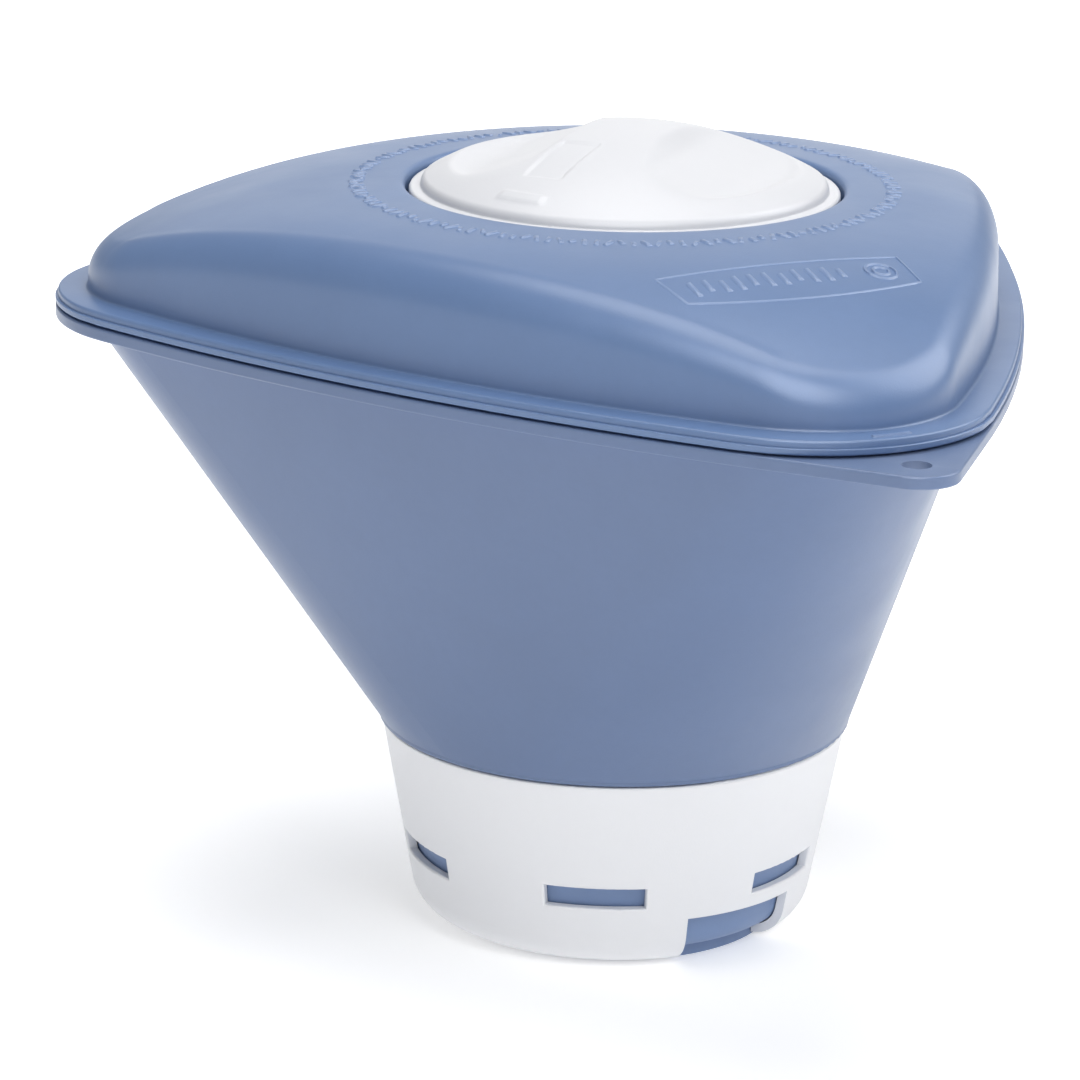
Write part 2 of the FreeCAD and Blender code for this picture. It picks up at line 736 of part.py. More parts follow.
bead_channel = box_profile(
    ring_radius("bead_centre_height", "ring_wall + overrun"),
    f"{ring_radius('bead_centre_height', 'ring_wall')} + bead_depth",
    f"{bead_low} - ring_gap",
    f"{bead_high} + ring_gap",
)
turned(ring, "Groove", "BeadChannel", bead_channel)
slot = box_profile("sump_radius", "ring_top_radius + overrun", "slot_bottom", "slot_top")
turned(ring, "Groove", "DosingSlot", slot, angle="slot_angle", copies="slot_count")
notch = box_profile("sump_radius", "ring_top_radius + overrun", "ring_bottom - overrun", "notch_top")
turned(ring, "Groove", "DosingNotch", notch, angle="notch_angle", direction="notch_centre")


def on_ring_face(low, high):
    """A test for points on the ring's sloping outer face between two heights."""
    bottom = number(sheet(low))
    top = number(sheet(high))
    top_radius = number(sheet("ring_top_radius"))
    ring_top = number(sheet("ring_top"))
    slope = number(sheet("ring_slope"))

    def belongs(point):
        face_radius = top_radius - slope * (ring_top - point.z)
        off_face = abs(math.hypot(point.x, point.y) - face_radius)
        return off_face < TOLERANCE and bottom - TOLERANCE < point.z < top + TOLERANCE

    return belongs


rounded(ring, "SlotEdges", "slot_edge_radius", on_ring_face("slot_bottom", "slot_top"))

# ---------------------------------------------------------------------------------------------
# Vent cup: the basket at the bottom of the tablet chamber
# ---------------------------------------------------------------------------------------------

cup = new_body("VentCup")
cup_depth = "ring_wall + ring_gap"
cup_inner_depth = f"{cup_depth} + cup_wall"
cup_profile = [
    ("0", "0"),
    ("foot_radius", "0"),
    ("foot_radius", "cup_floor_bottom"),
    (ring_radius("cup_floor_bottom", cup_depth), "cup_floor_bottom"),
    (ring_radius("ring_top", cup_depth), "ring_top"),
    (ring_radius("ring_top", cup_depth), "cup_collar_top"),
    (ring_radius("ring_top", cup_inner_depth), "cup_collar_top"),
    (ring_radius("ring_top", cup_inner_depth), "ring_top"),
    (ring_radius("cup_floor_top", cup_inner_depth), "cup_floor_top"),
    ("sump_radius", "cup_floor_top"),
    ("sump_radius", "sump_floor"),
    ("0", "sump_floor"),
]
turned(cup, "Revolution", "CupWall", cup_profile)
outer_corner = on_circle(ring_radius("cup_floor_bottom", cup_depth), "cup_floor_bottom")
rounded(cup, "CupCorner", "ring_corner_radius - ring_wall - ring_gap", outer_corner)
inner_corner = on_circle(ring_radius("cup_floor_top", cup_inner_depth), "cup_floor_top")
rounded(cup, "CupInnerCorner", "cup_wall", inner_corner)
bead_inner = ring_radius("bead_centre_height", f"{cup_depth} + overlap")
bead_outer = f"{ring_radius('bead_centre_height', cup_depth)} + bead_depth"
turned(cup, "Revolution", "RingBead", box_profile(bead_inner, bead_outer, bead_low, bead_high))
collar_radius = ring_radius("ring_top", cup_depth)
snap = [
    (f"{collar_radius} - overlap", "snap_centre_height - snap_height / 2"),
    (f"{collar_radius} + snap_depth", "snap_centre_height - snap_height / 2"),
    (f"{collar_radius} + snap_depth", "snap_centre_height"),
    (collar_radius, "snap_centre_height + snap_height / 2"),
    (f"{collar_radius} - overlap", "snap_centre_height + snap_height / 2"),
]
turned(cup, "Revolution", "SnapBead", snap)
window = box_profile(
    "sump_radius", "ring_top_radius", "slot_bottom + window_margin", "slot_top - window_margin"
)
half_pitch = "180 / slot_count"
turned(cup, "Groove", "Window", window, angle="window_angle", direction=half_pitch, copies="slot_count")
low_window = box_profile("sump_radius", "ring_top_radius", "low_window_bottom", "low_window_top")
turned(cup, "Groove", "LowWindow", low_window, angle="low_window_angle", direction="low_window_centre")
drain_direction = "180 / drain_count"
drain_along = f"drain_circle_radius * cos({drain_direction})"
drain_up = f"drain_circle_radius * sin({drain_direction})"
drilled(cup, "Drain", "drain_radius", (drain_along, drain_up), "0", "sump_floor", copies="drain_count")

# ---------------------------------------------------------------------------------------------
# Cap and its seal
# ---------------------------------------------------------------------------------------------

cap_seal = new_body("CapSeal")
cap_lip_bottom = "(seat_height + cap_seal_thickness)"
cap_lip_top = "(seat_height + cap_seal_thickness + cap_lip_thickness)"
washer = box_profile("cap_seal_inner_radius", "cap_seal_outer_radius", "seat_height", cap_lip_bottom)
turned(cap_seal, "Revolution", "Washer", washer)

dome_centre = ("0", "cap_crest - cap_dome_arc_radius")


def dome_height(radius, drop):
    """The height of the cap's dome at a radius, lowered by drop."""
    return f"cap_crest - cap_dome_arc_radius + sqrt((cap_dome_arc_radius - {drop}) ^ 2 - ({radius}) ^ 2)"


def scooped(body, name, wall, side):
    """Cut one finger scoop: its floor falls away from the middle grip and its outline is a
    circle trimmed by the grip's bowed edge.  wall grows it for the inside of the cap."""
    sketch = new_sketch(body, name + "Outline", "XY_Plane")
    lean = "rotation(vector(1; 0; 0); -scoop_tilt)"
    facing = f"rotation(vector(0; 0; 1); grip_direction + {side})"
    place = f"placement(vector(0; 0; scoop_floor_height - {wall}); {facing} * {lean})"
    sketch.setExpression("AttachmentOffset", sheet(place))
    doc.recompute()
    outer = number(sheet(f"scoop_radius + {wall}"))
    inner = number(sheet(f"scoop_edge_radius + {wall}"))
    away = number(sheet("scoop_edge_radius + grip_half_width"))
    meeting_up = (outer ** 2 - inner ** 2 + away ** 2) / (2 * away)
    meeting_along = math.sqrt(outer ** 2 - meeting_up ** 2)
    first = math.atan2(meeting_up, meeting_along)
    sketch.addGeometry(Part.ArcOfCircle(Part.Circle(Vector(0, 0, 0), UP, outer), first, math.pi - first))
    last = math.atan2(meeting_up - away, meeting_along)
    sketch.addGeometry(Part.ArcOfCircle(Part.Circle(Vector(0, away, 0), UP, inner), -math.pi - last, last))
    join(sketch, 0, 1)
    join(sketch, 1, 0)
    sketch.addConstraint(Sketcher.Constraint("Coincident", 0, CENTRE, ORIGIN, 1))
    pin(sketch, 1, CENTRE, "0", "scoop_edge_radius + grip_half_width")
    constrain(sketch, "Radius", 0, formula=f"scoop_radius + {wall}")
    constrain(sketch, "Radius", 1, formula=f"scoop_edge_radius + {wall}")
    pocket = body.newObject("PartDesign::Pocket", name)
    pocket.Profile = sketch
    pocket.UseCustomVector = True
    pocket.Direction = UP
    pocket.setExpression("Length", sheet("scoop_radius"))
    before = body.Shape.Volume
    doc.recompute()
    if pocket.Shape.Volume >= before:
        raise RuntimeError(f"{name} cuts nothing")


SCOOP_SIDES = {"Left": 0, "Right": 180}

# The hollow under the dome, which leaves an even wall round the two scoops.
cap_hollow = new_body("CapHollow")
inner_radius = "cap_skirt_radius - cap_skirt_wall"
hollow_profile = [
    ("0", "cap_crest - cap_plate"),
    (inner_radius, dome_height(inner_radius, "cap_plate")),
    (inner_radius, "cap_skirt_bottom - overrun"),
    ("0", "cap_skirt_bottom - overrun"),
]
turned(cap_hollow, "Revolution", "HollowBody", hollow_profile, {0: dome_centre})
for side_name, side in SCOOP_SIDES.items():
    scooped(cap_hollow, f"Hollow{side_name}Scoop", "cap_plate", side)

cap = new_body("Cap")
cap_profile = [
    ("0", "cap_crest"),
    ("cap_dome_radius", dome_height("cap_dome_radius", "0")),
    ("cap_dome_radius", cap_lip_top),
    ("cap_lip_radius", cap_lip_top),
    ("cap_lip_radius", cap_lip_bottom),
    ("cap_skirt_radius", cap_lip_bottom),
    ("cap_skirt_radius", "cap_skirt_bottom"),
    ("0", "cap_skirt_bottom"),
]
turned(cap, "Revolution", "CapBody", cap_profile, {0: dome_centre})
rounded(cap, "LipEdge", "cap_lip_edge_radius", on_circle("cap_lip_radius", cap_lip_top))
for side_name, side in SCOOP_SIDES.items():
    scooped(cap, f"{side_name}Scoop", "0", side)
cap_cut = cap.newObject("PartDesign::Boolean", "CapHollowCut")
cap_cut.Type = "Cut"
cap_cut.setObjects([cap_hollow])
cap.Tip = cap_cut
doc.recompute()
lug = box_profile("cap_skirt_radius - overlap", "lug_radius", "lug_bottom", "lug_top")
turned(cap, "Revolution", "Lug", lug, angle="lug_angle", direction="grip_direction", copies="lug_count")

# ---------------------------------------------------------------------------------------------
# Checking and writing
# ---------------------------------------------------------------------------------------------

SUB_PARTS = {
    "deck_shell": deck,
    "hull_shell": hull,
    "seam_seal": seam_seal,
    "tablet_tube": tube,
    "tube_top_seal": top_seal,
    "tube_bottom_seal": bottom_seal,
    "vent_cup": cup,
    "dosing_ring": ring,
    "cap_seal": cap_seal,
    "cap": cap,
}

doc.recompute()
for item in doc.Objects:
    if "Invalid" in item.State or "Error" in item.State:
        raise RuntimeError(f"{item.Name} did not compute: {item.State}")
os.makedirs("parts", exist_ok=True)
for node, item in SUB_PARTS.items():
    item.Label = node
    shape = item.Shape
    if shape.isNull() or not shape.isValid():
        raise RuntimeError(f"{node} has no valid shape")
    print(f"{node}: {len(shape.Solids)} solid, {shape.Volume / 1000:.1f} cm3")
    shape.exportStep(os.path.join("parts", node + ".step"))
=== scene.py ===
import math

import bpy
import numpy as np
from mathutils import Matrix, Vector


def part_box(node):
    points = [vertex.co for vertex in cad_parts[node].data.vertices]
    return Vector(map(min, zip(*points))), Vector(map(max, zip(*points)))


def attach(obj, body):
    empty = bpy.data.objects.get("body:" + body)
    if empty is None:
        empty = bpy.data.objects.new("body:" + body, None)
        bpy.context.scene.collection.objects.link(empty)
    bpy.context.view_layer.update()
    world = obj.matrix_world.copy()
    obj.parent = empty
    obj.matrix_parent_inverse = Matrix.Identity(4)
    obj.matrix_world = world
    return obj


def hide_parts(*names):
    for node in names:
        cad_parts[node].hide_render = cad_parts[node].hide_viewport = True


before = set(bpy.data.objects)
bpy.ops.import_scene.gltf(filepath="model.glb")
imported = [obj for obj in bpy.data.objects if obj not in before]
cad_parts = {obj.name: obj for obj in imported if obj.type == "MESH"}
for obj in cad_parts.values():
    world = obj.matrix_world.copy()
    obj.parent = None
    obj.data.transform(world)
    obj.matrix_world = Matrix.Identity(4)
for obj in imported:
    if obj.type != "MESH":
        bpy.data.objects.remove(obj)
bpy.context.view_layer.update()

# Floating chlorine dispenser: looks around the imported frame.  Shapes are worked out in
# millimetres, +Z is up, and the corner with the tether tab points along -Y.

MM = 0.001
FULL_TURN = 2 * math.pi


# ---------------------------------------------------------------------------------------------
# Sizes shared with the frame
# ---------------------------------------------------------------------------------------------

SEAL_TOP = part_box("seam_seal")[1].z / MM
TUBE_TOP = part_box("tablet_tube")[1].z / MM
CROWN_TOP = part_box("deck_shell")[1].z / MM
CAP_SEAL_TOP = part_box("cap_seal")[1].z / MM
CAP_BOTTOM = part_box("cap")[0].z / MM
CAP_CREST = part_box("cap")[1].z / MM

# Rounded triangles: distance of the corner circles, their radius, radius of the side arcs.
FLANGE = (85.3, 37.7, 495.0)
CREASE = (86.0, 30.0, 400.0)

# Deck flange, with a small step half way up its edge.
FLANGE_BOTTOM = SEAL_TOP
FLANGE_STEP = FLANGE_BOTTOM + 1.4
FLANGE_TOP = FLANGE_BOTTOM + 2.9
STEP_INSET = 0.6
STEP_BEVEL = 0.15
STEP_FOOT = 0.25
EDGE_ROUND = 0.5

# Deck wall, shoulder and crown.
DECK_WALL = 2.6
DRAFT = math.radians(1.5)
CREASE_ROUND = 0.6
SHOULDER_ROUND = 10.0
CROWN_FLAT = 47.5
CROWN_ARC = 140.0

# Cap well, the seat of the cap's seal, and the throat below it.
CAP_SEAL_THICKNESS = 1.5
SEAT = CAP_SEAL_TOP - CAP_SEAL_THICKNESS
SEAT_UNDERSIDE = SEAT - 2.2
SEAT_BEVEL = 0.3
WELL = 47.0
WELL_ROUND = 1.5
WELL_OUTSIDE = 49.8
THROAT = 43.5
THROAT_BEVEL = 0.4
THROAT_OUTSIDE = 45.7
THROAT_BOTTOM = TUBE_TOP - 8.0

# Three bayonet ramps in the throat, each with a stop, and three lugs on the cap's skirt.
LUG_COUNT = 3
LUG_PITCH = FULL_TURN / LUG_COUNT
ROOT = 0.5
RAMP_INSIDE = 41.8
RAMP_LOW = 150.5
RAMP_HIGH = 153.5
RAMP_HALF = math.radians(35)
STOP_LOW = 146.9
STOP_TURN = math.radians(57.6)
STOP_HALF = math.radians(2)
LUG_OUTSIDE = 43.1
LUG_LOW = 147.2
LUG_HIGH = 150.2
LUG_HALF = math.radians(15)

# Cap: dome, rim, lip and skirt.
GRIP = math.radians(44)
DOME_ARC = 87.0
DOME_RADIUS = 43.7
RIM_ROUND = 2.2
RIM_START = 62.0
LIP_RADIUS = 46.2
LIP_ROUND = 0.8
LIP_TOP = CAP_SEAL_TOP + 4.4
LIP_FILLET = 0.3
SKIRT_OUTSIDE = 41.3
SKIRT_INSIDE = 39.3
SKIRT_BEVEL = 0.4
CAP_PLATE = 2.2

# Finger scoops on both sides of the grip: a sloped floor that turns up towards the rim, a
# steep outer wall and a curved wall along the grip.
SCOOP_RADIUS = 38.0
SCOOP_DROP = 0.2
SCOOP_TILT = math.radians(18)
SCOOP_TURN = 26.0
SCOOP_CURVE = 0.027
OUTER_STEEPNESS = 1.6
GRIP_STEEPNESS = 0.9
GRIP_WALL_ARC = 95.0
GRIP_WALL_CENTRE = 104.5
OUTER_ROUND = 2.2
GRIP_ROUND = 1.0
SCOOP_EDGE = 0.5

# Panel let into the grip, along and across its own direction, and a raised bar near the rim.
PANEL_TURN = math.radians(34.7)
PANEL_ALONG = (-31.0, -15.5)
PANEL_ACROSS = (-6.3, 2.0)
PANEL_DEPTH = 0.42
BAR_DIRECTIONS = (-157.0, -142.0)
BAR_RADII = (37.9, 40.0)
BAR_HEIGHT = 0.45


# ---------------------------------------------------------------------------------------------
# Curves
# ---------------------------------------------------------------------------------------------


def outline_parts(triangle):
    """Where the side arcs are centred, and how far the corner arcs reach round their centres."""
    distance, corner, side = triangle
    opposite = (-distance + math.sqrt(4 * (side - corner) ** 2 - 3 * distance ** 2)) / 2
    span = math.atan2(opposite * math.sqrt(3) / 2, distance + opposite / 2)
    return opposite, span


def outline_radius(angles, inset, triangle):
    """Distance from the axis to a rounded triangle's outline moved in by inset."""
    distance, corner, side = triangle
    opposite, span = outline_parts(triangle)
    third = FULL_TURN / 3
    turn = np.abs(np.mod(angles + math.pi / 2 + third / 2, third) - third / 2)
    small = corner - inset
    large = side - inset
    last = np.arctan2(small * math.sin(span), distance + small * math.cos(span))
    across = np.minimum(distance * np.sin(turn), small)
    on_corner = distance * np.cos(turn) + np.sqrt(small ** 2 - across ** 2)
    lean = math.pi / 3 - turn
    on_side = -opposite * np.cos(lean) + np.sqrt(large ** 2 - (opposite * np.sin(lean)) ** 2)
    return np.where(turn <= last, on_corner, on_side)


def column_directions(triangle, corner_steps, side_steps):
    """Directions round the axis, closer together where the outline turns its tight corners."""
    distance, corner, _ = triangle
    _, span = outline_parts(triangle)
    end = math.atan2(corner * math.sin(span), distance + corner * math.cos(span))
    directions = []
    for middle in np.radians((-90, 30, 150)):
        facing = np.linspace(-span, span, corner_steps, endpoint=False)
        bearing = np.arctan2(corner * np.sin(facing), distance + corner * np.cos(facing))
        directions.append(middle + bearing)
        directions.append(middle + np.linspace(end, FULL_TURN / 3 - end, side_steps, endpoint=False))
    return np.concatenate(directions)


def crown(radius, drop=0.0):
    """Height of the deck's crown at a radius, or of its inner face drop below it."""
    run = np.maximum(np.asarray(radius) - CROWN_FLAT, 0)
    return CROWN_TOP - CROWN_ARC + np.sqrt((CROWN_ARC - drop) ** 2 - run ** 2)


def smooth_max(first, second, reach):
    """The larger of two values, with the crossing rounded over about reach."""
    return (first + second + np.sqrt((first - second) ** 2 + reach ** 2)) / 2


def smooth_min(first, second, reach):
    """The smaller of two values, rounded over in the same way."""
    return -smooth_max(-first, -second, reach)


def rise(value, start, width):
    """A soft step from 0 to 1 that begins at start."""
    part = np.clip((value - start) / width, 0, 1)
    return part * part * (3 - 2 * part)


def band(value, low, high, width):
    """1 between low and high, with soft edges outside them."""
    return rise(value, low - width, width) * (1 - rise(value, high, width))


# ---------------------------------------------------------------------------------------------
# Meshes
# ---------------------------------------------------------------------------------------------


class Shape:
    """Collects closed surfaces, in millimetres, and makes one mesh object of them."""

    def __init__(self):
        self.points = []
        self.faces = []

    def add(self, points, faces):
        """Add one closed surface, whose faces number its own points from 0."""
        first = len(self.points)
        self.points.extend(map(tuple, points))
        self.faces.extend(tuple(first + corner for corner in face) for face in faces)

    def sweep(self, angles, rows, closed=True):
        """A surface through rows of (radius, height) round the axis.  A closed section has no
        ends; an open one ends in a point on the axis at each end."""
        count = len(angles)
        ones = np.ones(count)
        circle = np.stack([np.cos(angles), np.sin(angles)], axis=1)
        rings = []
        for radius, height in rows:
            plan = circle * (ones * radius)[:, None]
            rings.append(np.column_stack([plan, ones * height]))
        points = np.concatenate(rings)
        faces = []
        steps = len(rings) if closed else len(rings) - 1
        for row in range(steps):
            here = row * count
            there = (row + 1) % len(rings) * count
            for i in range(count):
                after = (i + 1) % count
                faces.append((here + i, here + after, there + after, there + i))
        if not closed:
            ends = [[0, 0, rings[0][:, 2].mean()], [0, 0, rings[-1][:, 2].mean()]]
            points = np.concatenate([points, ends])
            top = len(points) - 2
            last = (len(rings) - 1) * count
            for i in range(count):
                after = (i + 1) % count
                faces.append((top, after, i))
                faces.append((top + 1, last + i, last + after))
        self.add(points, faces)

    def sector(self, inner, outer, low, high, start, end, steps=16, bevel=0.25):
        """A block between two radii, two heights and two directions, with softened edges."""
        section = [
            (inner + bevel, low), (outer - bevel, low), (outer, low + bevel), (outer, high - bevel),
            (outer - bevel, high), (inner + bevel, high), (inner, high - bevel), (inner, low + bevel),
        ]
        count = len(section)
        points = []
        for direction in np.linspace(start, end, steps):
            for radius, height in section:
                points.append((radius * math.cos(direction), radius * math.sin(direction), height))
        faces = [tuple(range(count - 1, -1, -1)), tuple(range((steps - 1) * count, steps * count))]
        for step in range(steps - 1):
            for i in range(count):
                after = (i + 1) % count
                here = step * count
                there = here + count
                faces.append((here + i, here + after, there + after, there + i))
        self.add(points, [face[::-1] for face in faces])

    def ribbon(self, path, width, surface, height, bevel, sink=0.3, closed=False):
        """A low raised strip along a path in plan, lying on a surface given by its height."""
        path = np.asarray(path, float)
        count = len(path)
        if closed:
            along = np.roll(path, -1, axis=0) - np.roll(path, 1, axis=0)
        else:
            along = np.gradient(path, axis=0)
        along /= np.linalg.norm(along, axis=1)[:, None]
        side = np.column_stack([-along[:, 1], along[:, 0]])
        half = width / 2
        section = [(-half, -sink), (-half + bevel, height), (half - bevel, height), (half, -sink)]
        corners = len(section)
        rings = []
        for offset, lift in section:
            plan = path + side * offset
            if not closed and lift > 0:
                plan[0] += along[0] * bevel
                plan[-1] -= along[-1] * bevel
            up = surface(np.hypot(plan[:, 0], plan[:, 1])) + lift
            rings.append(np.column_stack([plan, up]))
        points = np.stack(rings, axis=1).reshape(-1, 3)
        faces = []
        for step in range(count if closed else count - 1):
            here = step * corners
            there = (step + 1) % count * corners
            for i in range(corners):
                after = (i + 1) % corners
                faces.append((here + i, here + after, there + after, there + i))
        if not closed:
            last = (count - 1) * corners
            faces += [tuple(range(corners - 1, -1, -1)), tuple(range(last, last + corners))]
        self.add(points, [face[::-1] for face in faces])

    def make(self, name, sharp=35):
        """One mesh object of everything added, smooth but for edges sharper than sharp degrees."""
        mesh = bpy.data.meshes.new(name)
        mesh.from_pydata([tuple(c * MM for c in point) for point in self.points], [], self.faces)
        mesh.validate()
        mesh.update()
        mesh.shade_smooth()
        mesh.set_sharp_from_angle(angle=math.radians(sharp))
        made = bpy.data.objects.new(name, mesh)
        bpy.context.scene.collection.objects.link(made)
        return made


def arc(centre, radius, start, end, steps):
    """Points (radius, height) of an arc in the section plane, both ends included, in degrees."""
    turns = np.radians(np.linspace(start, end, steps))
    return [(centre[0] + radius * math.cos(turn), centre[1] + radius * math.sin(turn)) for turn in turns]


# ---------------------------------------------------------------------------------------------
# Deck: the domed upper half of the float
# ---------------------------------------------------------------------------------------------


def shoulder(angles, wall, round_radius, steps):
    """Rows of the rounding between the drafted wall and the crown, from the wall upwards, for
    the face that lies wall inside the outer one."""
    lean = math.tan(DRAFT)
    nudge = 0.05

    def over(inset):
        return crown(outline_radius(angles, inset, CREASE), wall)

    # The centre of the rounding settles within a few rounds, where it meets wall and crown.
    middle = np.full(len(angles), wall + round_radius + 1)
    for _ in range(8):
        slope = (over(middle + nudge) - over(middle - nudge)) / (2 * nudge)
        height = over(middle) - round_radius * np.sqrt(1 + slope ** 2)
        middle = wall + round_radius / math.cos(DRAFT) + (height - FLANGE_TOP) * lean
    top = np.arctan2(1, slope)
    rows = []
    for part in np.linspace(0, 1, steps):
        turn = DRAFT + (top - DRAFT) * part
        inset = middle - round_radius * np.cos(turn)
        rows.append((outline_radius(angles, inset, CREASE), height + round_radius * np.sin(turn)))
    return rows


def wall_rows(angles, wall, low, high, steps):
    """Rows up the drafted wall from height low to high."""
    rows = []
    for part in np.linspace(0, 1, steps):
        height = low + (high - low) * part
        inset = wall + (height - FLANGE_TOP) * math.tan(DRAFT)
        rows.append((outline_radius(angles, inset, CREASE), height))
    return rows


def between(first, second, steps):
    """Rows from first to second over the crown, without either end."""
    parts = np.linspace(0, 1, steps + 2)[1:-1]
    return [first + (second - first) * part for part in parts]


def deck_rows(angles):
    """The deck's closed section: up the outside, over the crown, down the throat and back."""
    rows = []

    def flange_edge(height, outward, lift, inset):
        radius = outline_radius(angles, inset + EDGE_ROUND * (1 - outward), FLANGE)
        rows.append((radius, height + EDGE_ROUND * lift))

    for turn in np.radians((270, 300, 330, 360)):
        flange_edge(FLANGE_BOTTOM + EDGE_ROUND, math.cos(turn), math.sin(turn), 0)
    rows.append((outline_radius(angles, 0, FLANGE), FLANGE_STEP - STEP_BEVEL))
    rows.append((outline_radius(angles, STEP_BEVEL, FLANGE), FLANGE_STEP))
    rows.append((outline_radius(angles, STEP_INSET, FLANGE), FLANGE_STEP))
    rows.append((outline_radius(angles, STEP_INSET, FLANGE), FLANGE_STEP + STEP_FOOT))
    for turn in np.radians((0, 30, 60, 90)):
        flange_edge(FLANGE_TOP - EDGE_ROUND, math.cos(turn), math.sin(turn), STEP_INSET)
    for turn in np.radians((270, 247.5, 225, 202.5, 180)):
        inset = -CREASE_ROUND * (1 + math.cos(turn))
        height = FLANGE_TOP + CREASE_ROUND * (1 + math.sin(turn))
        rows.append((outline_radius(angles, inset, CREASE), height))
    rounding = shoulder(angles, 0, SHOULDER_ROUND, steps=13)
    rows += wall_rows(angles, 0, FLANGE_TOP + CREASE_ROUND, rounding[0][1], steps=9)[1:-1]
    rows += rounding
    inner = WELL + WELL_ROUND
    rows += [(radius, crown(radius)) for radius in between(rounding[-1][0], inner, 34)]
    rows += arc((inner, CROWN_TOP - WELL_ROUND), WELL_ROUND, 90, 180, 7)
    rows += [(WELL, SEAT + SEAT_BEVEL), (WELL - SEAT_BEVEL, SEAT)]
    rows += [(THROAT + THROAT_BEVEL, SEAT), (THROAT, SEAT - THROAT_BEVEL)]
    rows += [(THROAT, THROAT_BOTTOM), (THROAT_OUTSIDE, THROAT_BOTTOM)]
    rows += [(THROAT_OUTSIDE, SEAT_UNDERSIDE), (WELL_OUTSIDE, SEAT_UNDERSIDE)]
    rows.append((WELL_OUTSIDE, crown(WELL_OUTSIDE, DECK_WALL)))
    inside = shoulder(angles, DECK_WALL, SHOULDER_ROUND - DECK_WALL, steps=7)
    rows += [(radius, crown(radius, DECK_WALL)) for radius in between(WELL_OUTSIDE, inside[-1][0], 14)]
    rows += inside[::-1]
    rows += wall_rows(angles, DECK_WALL, FLANGE_BOTTOM, inside[0][1], steps=4)[-2::-1]
    return rows


def flange_face(radius):
    """Height of the flange's flat top, the same at every radius."""
    return np.full(np.shape(radius), FLANGE_TOP)


def add_ticks(shape):
    """A ring of plain ticks round the cap, with a few lengths and leans that repeat."""
    count = 144
    inside = 55.7
    outside = 59.3
    leans = (0.0, 1.1, -1.0, 0.4, 0.0, -1.2, 0.9)
    for index in range(count):
        direction = math.radians(360 / count * index + 1)
        inner = inside + (1.0 if index % 5 == 3 else 0.0)
        outer = outside - (1.1 if index % 4 == 1 else 0.0)
        lean = math.radians(leans[index % len(leans)])
        radii = np.array([inner, (inner + outer) / 2, outer])
        bearings = direction + np.array([-lean, 0, lean]) * 0.7
        path = np.column_stack([radii * np.cos(bearings), radii * np.sin(bearings)])
        shape.ribbon(path, 1.5, crown, height=0.32, bevel=0.4)


def add_frame(shape):
    """A thin frame in front of the cap, with a straight back edge, two nearly straight sides and
    a front edge curved round the axis."""
    back = -72.0
    back_left = -28.0
    back_right = 26.6
    right_side = [(26.5, -75.7), (26.4, -79.4)]
    left_side = [(-26.9, -79.4), (-27.5, -75.7)]
    front_radius = 87.2
    front_corner = -83.2
    half_front = 26.3
    steps = 25
    turns = np.linspace(math.atan2(front_corner, half_front), math.atan2(front_corner, -half_front), steps)
    path = [(x, back) for x in np.linspace(back_left, back_right, steps)]
    path += right_side
    path += [(front_radius * math.cos(turn), front_radius * math.sin(turn)) for turn in turns]
    path += left_side
    shape.ribbon(path, 1.0, crown, height=0.2, bevel=0.3, closed=True)


def add_bars(shape):
    """A row of plain bars in the frame.  Some end a little short in front, and some behind."""
    first = -22.5
    pitch = 3.3
    front = -81.6
    back = -75.4
    for index in range(11):
        x = first + pitch * index
        low = front + (1.2 if index % 3 == 1 else 0.0)
        high = back - (1.1 if index % 4 == 2 else 0.0)
        path = [(x, y) for y in np.linspace(low, high, 4)]
        shape.ribbon(path, 1.6, crown, height=0.32, bevel=0.4)


def add_rings(shape):
    """Two plain rings, one in the other, at the frame's right end."""
    x = 19.6
    y = -78.4
    turns = np.linspace(0, FULL_TURN, 28, endpoint=False)
    for radius in (1.7, 3.3):
        path = [(x + radius * math.cos(turn), y + radius * math.sin(turn)) for turn in turns]
        shape.ribbon(path, 1.0, crown, height=0.3, bevel=0.3, closed=True)


def add_flange_bar(shape):
    """A short bar along the flange, between the crown and the tether hole."""
    turns = np.radians(np.linspace(-92.1, -87.9, 9))
    radii = outline_radius(turns, STEP_INSET + 2.2, FLANGE)
    path = np.column_stack([radii * np.cos(turns), radii * np.sin(turns)])
    shape.ribbon(path, 1.5, flange_face, height=0.3, bevel=0.3)


def build_marks():
    """All the plain raised marks on the deck, as one mesh."""
    shape = Shape()
    add_ticks(shape)
    add_frame(shape)
    add_bars(shape)
    add_rings(shape)
    add_flange_bar(shape)
    return shape.make("deck_marks", sharp=60)


def build_deck():
    """The upper float moulding, with its bayonet ramps and stops."""
    angles = column_directions(CREASE, corner_steps=44, side_steps=34)
    shape = Shape()
    shape.sweep(angles, deck_rows(angles))
    root = THROAT + ROOT
    stop_high = RAMP_LOW + 0.3
    for index in range(LUG_COUNT):
        ramp = GRIP + LUG_PITCH * (index + 0.5)
        shape.sector(RAMP_INSIDE, root, RAMP_LOW, RAMP_HIGH, ramp - RAMP_HALF, ramp + RAMP_HALF)
        stop = GRIP - STOP_TURN + LUG_PITCH * index
        shape.sector(RAMP_INSIDE, root, STOP_LOW, stop_high, stop - STOP_HALF, stop + STOP_HALF, steps=4)
    return shape.make("deck_moulding")


# ---------------------------------------------------------------------------------------------
# Cap
# ---------------------------------------------------------------------------------------------


def dome(radius):
    """Height of the cap's plain dome at a radius."""
    return CAP_CREST - DOME_ARC + np.sqrt(DOME_ARC ** 2 - np.asarray(radius) ** 2)


